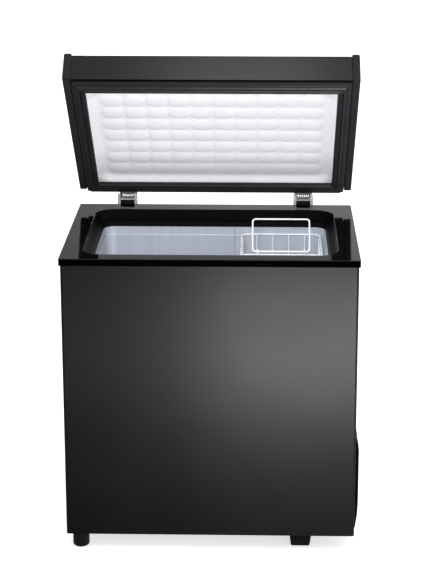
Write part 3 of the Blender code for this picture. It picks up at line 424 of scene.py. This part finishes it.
def make_light(name, place, aim, size, power, only=()):
    """A soft rectangle; only names the CAD nodes and pieces it lights, if not everything."""
    data = bpy.data.lights.new(name, "AREA")
    data.shape = "RECTANGLE"
    data.size, data.size_y = size
    data.energy = power
    made = bpy.data.objects.new(name, data)
    made.location = place
    made.rotation_euler = (Vector(aim) - Vector(place)).to_track_quat("-Z", "Y").to_euler()
    made.visible_camera = False
    bpy.context.scene.collection.objects.link(made)
    if only:
        lit = bpy.data.collections.new(name + "_lights")
        for piece_name in only:
            lit.objects.link(bpy.data.objects[piece_name])
        made.light_linking.receiver_collection = lit


def make_stage():
    """The pale floor, just below the feet, and the white studio round it."""
    bm = bmesh.new()
    reach, drop = 14.0, 0.0004
    corners = ((-reach, -reach), (reach, -reach), (reach, reach), (-reach, reach))
    bm.faces.new([bm.verts.new((x, y, -drop)) for x, y in corners])
    mesh = bpy.data.meshes.new("floor")
    bm.to_mesh(mesh)
    bm.free()
    floor = bpy.data.objects.new("floor", mesh)
    g = Graph("floor_paper")
    clouds = g.span(g.noise(1.5, 2.0), 0.0, 1.0)
    tone = g.blend(clouds, (0.90, 0.90, 0.90, 1.0), (0.93, 0.93, 0.93, 1.0))
    glow = 0.62
    g.shader.inputs["Emission Color"].default_value = (1.0, 1.0, 1.0, 1.0)
    g.shader.inputs["Emission Strength"].default_value = glow
    floor.data.materials.append(g.set(Base_Color=tone, Roughness=0.9, Specular_IOR_Level=0.0))
    floor.visible_diffuse = False
    floor.visible_glossy = False
    bpy.context.scene.collection.objects.link(floor)
    make_world()
    bpy.context.scene.view_settings.view_transform = "Standard"


def make_world():
    """The studio all round: white, and what the glossy dark panels reflect.

    It fades below the horizon, most of all towards the front (-Y), and dims to the left (-X).
    """
    world = bpy.data.worlds.new("studio")
    world.use_nodes = True
    tree = world.node_tree
    background = tree.nodes["Background"]
    background.inputs["Color"].default_value = (1.0, 1.0, 1.0, 1.0)
    way = tree.nodes.new("ShaderNodeSeparateXYZ")
    tree.links.new(tree.nodes.new("ShaderNodeTexCoord").outputs["Generated"], way.inputs["Vector"])

    def ramp(axis, start, stop, low, high=1.0):
        """Strength that goes from low to high as the direction's axis goes from start to stop."""
        made = tree.nodes.new("ShaderNodeMapRange")
        tree.links.new(way.outputs[axis], made.inputs["Value"])
        ends = (("From Min", start), ("From Max", stop), ("To Min", low), ("To Max", high))
        for key, value in ends:
            made.inputs[key].default_value = value
        return made

    beneath = ramp("Y", -0.75, -0.10, 0.06, 0.50)
    upward = ramp("Z", -0.10, 0.12, 0.06)
    tree.links.new(beneath.outputs["Result"], upward.inputs["To Min"])
    across = ramp("X", -0.13, -0.02, 0.55)
    product = tree.nodes.new("ShaderNodeMath")
    product.operation = "MULTIPLY"
    for side, part in enumerate((upward, across)):
        tree.links.new(part.outputs["Result"], product.inputs[side])
    tree.links.new(product.outputs["Value"], background.inputs["Strength"])
    bpy.context.scene.world = world


def make_lights():
    """One broad softbox overhead; every other light reaches only the pieces that it names.

    The front and lid cards make the soft highlights on those dark panels.
    """
    make_light("overhead", (0.0, -0.4, 3.6), (0.0, 0.0, 0.6), (3.2, 2.6), 60.0)
    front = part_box("outer_wrap")[0].y
    for name, x, power in (("front_card", 0.27, 15.0), ("front_card_left", -0.32, 1.4)):
        place, aim = (x + 0.023, front - 0.657, 0.345), (x, front, 0.570)
        make_light(name, place, aim, (0.62, 0.36), power, ["outer_wrap"])
    make_light("lid_card", (0.07, -0.40, 2.2), (0.04, -0.05, 1.22), (0.50, 0.5), 14.0,
               ["lid_shell"])
    make_light("tub_light", (-0.2, -2.9, 1.95), (0.0, 0.16, 0.70), (0.6, 0.4), 66.0,
               ["inner_liner", "basket_wires", "basket_handle_wire"])
    make_light("hinge_light", (0.0, -2.6, 0.95), (0.0, 0.26, 0.81), (0.8, 0.2), 34.0,
               both("hinge_bracket", "hinge_pin"))
    make_light("liner_light", (0.0, -2.0, 1.40), (0.0, 0.00, 1.10), (0.8, 0.3), 22.0,
               ["lid_liner_embossed"])
    make_light("liner_fill", (0.1, -1.2, 0.55), (0.0, -0.05, 1.15), (0.8, 0.3), 9.5,
               ["lid_liner_embossed"])
    make_light("lid_fill", (0.6, -1.6, 0.65), (0.0, 0.0, 1.00), (0.6, 0.3), 80.0,
               ["lid_frame_ribbed", "lid_cap_left", "lid_cap_right", "lid_gasket_bellows"])
    skin = ["outer_wrap", "rear_panel", "bay_cover", "side_grille", "thermostat_knob", "lid_shell",
            "lid_cap_left", "lid_cap_right", "cord_gland", "relay_cover", "compressor",
            "condenser_coil"]
    places = (("left_fill", (-2.4, 0.7, 1.7)), ("right_fill", (2.4, 0.7, 1.7)),
              ("rear_fill", (0.0, 2.8, 1.9)))
    for name, place in places:
        make_light(name, place, (0.0, 0.2, 0.6), (1.6, 1.0), 110.0, skin)


# ------------------------------------------------------------------ lid liner and gasket
# Drawn on the closed lid; heights without TOP count from the frame's top face.
# A rounded rectangle is (left, right, front, rear, corner radius).
GASKET = (-0.3337, 0.3337, MIDDLE_Y - 0.2200, MIDDLE_Y + 0.2367, 0.014)
LID_RING = (-0.353, 0.353, MIDDLE_Y - 0.2465, MIDDLE_Y + DEPTH / 2 + 0.0014, 0.004)
LID_STEP = (-0.3455, 0.3455, MIDDLE_Y - 0.2360, MIDDLE_Y + 0.2582, 0.005)
LID_FIELD = (-0.2970, 0.2970, MIDDLE_Y - 0.1790, MIDDLE_Y + 0.2080)
LINER_RIM, LINER_FIELD = 0.0125, 0.026
LINER_SHEET = 0.0012
FIELD_CORNER = 0.022
PILLOWS = (10, 7)            # across, and front to rear
PILLOW_MARGIN = 0.010
PILLOW_DEPTH = 0.0040


def soft_step(value):
    """A straight ramp from 0 to 1 whose two ends are rounded."""
    bend = 0.12
    value = min(1.0 + bend, max(-bend, value))
    if value < bend:
        return (value + bend) ** 2 / (4 * bend)
    if value > 1.0 - bend:
        return 1.0 - (1.0 + bend - value) ** 2 / (4 * bend)
    return value


def liner_height(x, y, edge):
    """Height of the liner's face above the frame's top; edge is the rectangle at its rim."""
    left, right, front, rear = LID_FIELD
    corner = FIELD_CORNER
    slope_x = left - edge[0] if x < 0 else edge[1] - right
    slope_y = front - edge[2] if y < MIDDLE_Y else edge[3] - rear
    out_x = max(0.0, left + corner - x, x - right + corner) / (corner + slope_x)
    out_y = max(0.0, front + corner - y, y - rear + corner) / (corner + slope_y)
    out = math.hypot(out_x, out_y)
    inward = 1.0
    if out > 0.0:
        share = (out_x / out) ** 2
        stretch_x, stretch_y = 1 + corner / slope_x, 1 + corner / slope_y
        inward = (1.0 - out) * (share * stretch_x + (1 - share) * stretch_y)
    height = LINER_RIM + (LINER_FIELD - LINER_RIM) * soft_step(inward)
    u = (x - left - PILLOW_MARGIN) / (right - left - 2 * PILLOW_MARGIN) * PILLOWS[0]
    v = (y - front - PILLOW_MARGIN) / (rear - front - 2 * PILLOW_MARGIN) * PILLOWS[1]
    if 0.0 < u < PILLOWS[0] and 0.0 < v < PILLOWS[1]:
        cell_u, cell_v = (u % 1.0) * 2 - 1, (v % 1.0) * 2 - 1
        dome = max(0.0, 1.0 - abs(cell_u) ** 3.4 - abs(cell_v) ** 2.0 * 0.94)
        height -= PILLOW_DEPTH * dome ** 0.62
    return height


def grid_lines(low, high, count, extra):
    """Evenly spaced lines from low to high, and the extra ones, in order."""
    lines = {round(low + (high - low) * i / count, 6) for i in range(count + 1)}
    return sorted(lines | {round(value, 6) for value in extra})


def make_lid_liner(material):
    """The white sheet with its embossed field, front and back, closed round its border."""
    edge = inset(GASKET, 0.0140)
    rim = inset(GASKET, 0.0006)
    bm = bmesh.new()
    xs = grid_lines(edge[0], edge[1], 150, (rim[0], rim[1]))
    ys = grid_lines(edge[2], edge[3], 108, (rim[2], rim[3]))

    def corner_pull(x, y):
        """Rounds the sheet's four corners to the gasket's radius."""
        radius = rim[4]
        centre_x = max(rim[0] + radius, min(rim[1] - radius, x))
        centre_y = max(rim[2] + radius, min(rim[3] - radius, y))
        off = Vector((x - centre_x, y - centre_y))
        if off.x and off.y and off.length > radius:
            off *= radius / off.length
        return centre_x + off.x, centre_y + off.y

    face, back = [], []
    for y in ys:
        row, behind = [], []
        for x in xs:
            px, py = corner_pull(x, y)
            z = liner_height(px, py, edge)
            row.append(bm.verts.new((px, py, TOP + z)))
            behind.append(bm.verts.new((px, py, TOP + max(z, LINER_RIM) + LINER_SHEET)))
        face.append(row)
        back.append(behind)
    for grid in (face, back):
        for j in range(len(ys) - 1):
            for i in range(len(xs) - 1):
                bm.faces.new((grid[j][i], grid[j][i + 1],
                              grid[j + 1][i + 1], grid[j + 1][i]))
    last_i, last_j = len(xs) - 1, len(ys) - 1
    border = [(0, i) for i in range(last_i)] + [(j, last_i) for j in range(last_j)]
    border += [(last_j, i) for i in range(last_i, 0, -1)] + [(j, 0) for j in range(last_j, 0, -1)]
    for a, b in zip(border, border[1:] + border[:1]):
        bm.faces.new((face[a[0]][a[1]], face[b[0]][b[1]],
                      back[b[0]][b[1]], back[a[0]][a[1]]))
    made = piece("lid_liner_embossed", bm, material, "lid", 60.0,
                 closed_to_open())
    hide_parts("lid_liner")


def make_gasket(material):
    """Magnetic seal: a cushion with a bead along it, a bellows fold and a pressed-in foot."""
    profile = [  # inwards from the gasket's outer edge, and height
        (0.0000, 0.0122), (0.0000, 0.0090), (0.0008, 0.0080), (0.0000, 0.0068), (0.0003, 0.0040),
        (0.0016, 0.0017), (0.0038, 0.0007), (0.0052, 0.0010), (0.0060, 0.0016), (0.0068, 0.0010),
        (0.0082, 0.0005), (0.0104, 0.0007), (0.0124, 0.0018), (0.0134, 0.0040), (0.0137, 0.0068),
        (0.0129, 0.0080), (0.0137, 0.0090), (0.0137, 0.0122),
    ]
    sections = [(inset(GASKET, distance), TOP + z) for distance, z in profile]
    made = piece("lid_gasket_bellows", rect_ring(sections), material, "lid", 50.0,
                 closed_to_open())
    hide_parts("lid_gasket")


def make_inner_frame(material):
    """The lid's underside frame: its step, a groove, a sloped ridge and a rounded inner lip."""
    seat = (-0.3544, 0.3544, MIDDLE_Y - 0.2557, MIDDLE_Y + 0.2592, 0.002)
    sections = [  # rounded rectangle, and height
        (seat, 0.0140), (seat, 0.0125), (LID_RING, 0.0124), (LID_RING, 0.0066),
        (inset(LID_RING, 0.0005), 0.0058), (inset(LID_RING, 0.0015), 0.0055),
        (inset(LID_STEP, -0.0006), 0.0055), (inset(LID_STEP, -0.0002), 0.0052),
        (LID_STEP, 0.0018), (inset(LID_STEP, 0.0004), 0.0013), (inset(LID_STEP, 0.0016), 0.0012),
        (inset(LID_STEP, 0.0022), 0.0034), (inset(LID_STEP, 0.0050), 0.0038),
        (inset(LID_STEP, 0.0054), 0.0036), (inset(LID_STEP, 0.0082), 0.0013),
        (inset(LID_STEP, 0.0088), 0.0012), (inset(GASKET, -0.0022), 0.0010),
        (inset(GASKET, -0.0012), 0.0012), (inset(GASKET, -0.0004), 0.0030),
        (inset(GASKET, -0.0004), 0.0140),
    ]
    sections = [(rect, TOP + z) for rect, z in sections]
    made = piece("lid_frame_ribbed", rect_ring(sections), material, "lid", 35.0,
                 closed_to_open())
    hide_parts("lid_inner_frame")


# ------------------------------------------------------------------ basket
BASKET_LOW, BASKET_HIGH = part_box("basket")
HANDLE_LOW, HANDLE_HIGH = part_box("basket_handle")
THICK_WIRE, WIRE = 0.0022, 0.0015       # radii
THICK_SIDES = 14
HANDLE_X = (HANDLE_LOW.x + THICK_WIRE, HANDLE_HIGH.x - THICK_WIRE)
BASKET_RIM = TOP - 0.0622
BASKET_FLOOR = BASKET_RIM - 0.150
BASKET_BELT = BASKET_RIM - 0.070        # a second hoop, round the sides
BODY_X, BODY_Y = 0.0048, 0.0105         # from the rim's outside to the belt's middle
WELD = 0.0012                           # a welded wire's middle lies this far inside its hoop's
CROSSING = 0.0018                       # one floor wire above the other, middle to middle
GAPS_X, GAPS_Y = 5, 9                   # between the wires, across and front to rear
BAR_DROP = 0.0088                       # from the handle's axis down to the bar with its eyes
EYE_INSET = 0.014


def hoop(inward_x, inward_y, z, radius):
    """A level hoop with rounded corners, that far inside the basket's box."""
    left, right = BASKET_LOW.x + inward_x, BASKET_HIGH.x - inward_x
    front, rear = BASKET_LOW.y + inward_y, BASKET_HIGH.y - inward_y
    corners = [(right, rear, z), (left, rear, z), (left, front, z), (right, front, z)]
    return fillet(corners, radius, 8, closed=True)


def make_basket(material):
    """The same wires as the solid basket, but round; they overlap where they are welded."""
    rim, low, lifted = BASKET_RIM, BASKET_FLOOR, BASKET_FLOOR + CROSSING
    left, right, front, rear = BASKET_LOW.x, BASKET_HIGH.x, BASKET_LOW.y, BASKET_HIGH.y
    bm = bmesh.new()
    add_wire(bm, hoop(THICK_WIRE, THICK_WIRE, rim, 0.022), THICK_WIRE, True, THICK_SIDES)
    add_wire(bm, hoop(BODY_X, BODY_Y, BASKET_BELT, 0.018), WIRE, True)
    near, far = front + BODY_Y + WELD, rear - BODY_Y - WELD
    for i in range(1, GAPS_X):
        x = left + (right - left) * i / GAPS_X
        route = [(x, front + THICK_WIRE, rim), (x, near, rim), (x, near, low),
                 (x, far, low), (x, far, rim), (x, rear - THICK_WIRE, rim)]
        add_wire(bm, fillet(route, 0.004, 5), WIRE, False)
    near, far = left + BODY_X + WELD, right - BODY_X - WELD
    for i in range(1, GAPS_Y):
        y = front + (rear - front) * i / GAPS_Y
        route = [(left + THICK_WIRE, y, rim), (near, y, rim), (near, y, lifted),
                 (far, y, lifted), (far, y, rim), (right - THICK_WIRE, y, rim)]
        add_wire(bm, fillet(route, 0.003, 5), WIRE, False)
    bar, bar_end = GRIP.z - BAR_DROP, GRIP.y + 0.012
    route = [(near, bar_end, bar), (near, GRIP.y, bar), (far, GRIP.y, bar), (far, bar_end, bar)]
    add_wire(bm, fillet(route, 0.004, 5), WIRE, False)
    room = THICK_WIRE + WIRE + 0.0005
    for x in (HANDLE_X[0] + EYE_INSET, HANDLE_X[1] - EYE_INSET):
        eye = [(x, GRIP.y - room, bar), (x, GRIP.y + room, bar),
               (x, GRIP.y + room, GRIP.z + room), (x, GRIP.y - room, GRIP.z + room)]
        add_wire(bm, fillet(eye, 0.0030, 5, closed=True), WIRE, True)
    made = piece("basket_wires", bm, material, "basket", 60.0)
    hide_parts("basket")


def make_handle(material):
    """The folded-up handle: one closed loop whose lower side turns in the basket's eyes."""
    left, right = HANDLE_X
    top_y, top_z = HANDLE_HIGH.y - THICK_WIRE, HANDLE_HIGH.z - THICK_WIRE
    corners = [(left, GRIP.y, GRIP.z), (right, GRIP.y, GRIP.z),
               (right, top_y, top_z), (left, top_y, top_z)]
    bm = bmesh.new()
    add_wire(bm, fillet(corners, 0.008, 8, closed=True), THICK_WIRE, True, THICK_SIDES)
    made = piece("basket_handle_wire", bm, material, "basket_handle", 60.0)
    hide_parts("basket_handle")


# ------------------------------------------------------------------ finishes
def paint(material, *names):
    """Gives these CAD nodes the material, in place of the one they were packed with."""
    for name in names:
        data = frame["nodes"][name].data
        data.materials.clear()
        data.materials.append(material)


def numbered(stem, count):
    """The stem's names with _1, _2 and so on."""
    return ["%s_%d" % (stem, i + 1) for i in range(count)]


def both(*stems):
    """Each stem's two names, with _left and _right."""
    return ["%s_%s" % (stem, side) for stem in stems for side in ("left", "right")]


def make_finishes():
    """A procedural material for every CAD node, seen or inside, that scene.py doesn't replace."""
    paint(painted_steel("cabinet_paint", rgb(12, 12, 14), roughness=0.42, level=0.15),
          "outer_wrap", "rear_panel", "bay_cover")
    paint(painted_steel("lid_paint", rgb(5, 5, 6), roughness=0.36, level=0.08), "lid_shell")
    paint(gloss_plastic("frame_gloss", rgb(6, 6, 7), roughness=0.06, level=0.10,
                        satin_below=TOP - 0.0012), "top_frame")
    paint(moulded("cap_plastic", rgb(24, 24, 26), roughness=0.48, level=0.06),
          "lid_cap_left", "lid_cap_right", "side_grille")
    paint(moulded("knob_plastic", rgb(30, 30, 32), roughness=0.40),
          "thermostat_knob", "relay_cover")
    # the tub's sheet has a painted highlight and a painted shade at its rear-left corner
    paint(coated_sheet("tub_sheet", rgb(188, 194, 205), seam_x=0.0555, painted_highlight_x=-0.278),
          "inner_liner")
    paint(zinc("hinge_zinc", rgb(176, 178, 182)),
          *both("hinge_bracket", "hinge_arm", "hinge_pin"), *numbered("hinge_screw_left", 2),
          *numbered("hinge_screw_right", 2), *numbered("compressor_bolt", 4))
    paint(zinc("spring_steel", rgb(92, 93, 96), roughness=0.40), *both("hinge_spring"))
    paint(zinc("galvanised", rgb(150, 152, 156), roughness=0.45),
          "base_panel", "compressor_base_plate", "thermostat", "evaporator_coil")
    paint(rubber("black_rubber", rgb(22, 22, 23)),
          *both("hinge_stop"), *numbered("compressor_grommet", 4), "cord_gland", "drain_plug",
          "foot_left_front", "foot_left_rear", "foot_right_front", "foot_right_rear")
    paint(copper("copper_tube", rgb(196, 112, 74)),
          "condenser_coil", "suction_tube", "discharge_tube", "process_tube", "filter_drier")
    paint(foam("poured_foam", rgb(222, 205, 150)), "cabinet_foam", "lid_foam")
    paint(painted_steel("compressor_paint", rgb(14, 14, 15), roughness=0.28, level=0.45),
          "compressor")
    paint(moulded("drain_plastic", rgb(90, 91, 93), roughness=0.50), "drain_tube", "drain_cap")


make_camera()
make_stage()
make_finishes()
make_lid_liner(white_plastic("liner_white", rgb(243, 243, 246)))
make_gasket(rubber("gasket_rubber", rgb(5, 5, 6), roughness=0.60))
make_inner_frame(moulded("inner_frame_plastic", rgb(21, 21, 24), roughness=0.46, level=0.25))
WHITE_WIRE = coated_wire("white_coat", rgb(240, 243, 248))
make_basket(WHITE_WIRE)
make_handle(WHITE_WIRE)
make_lights()
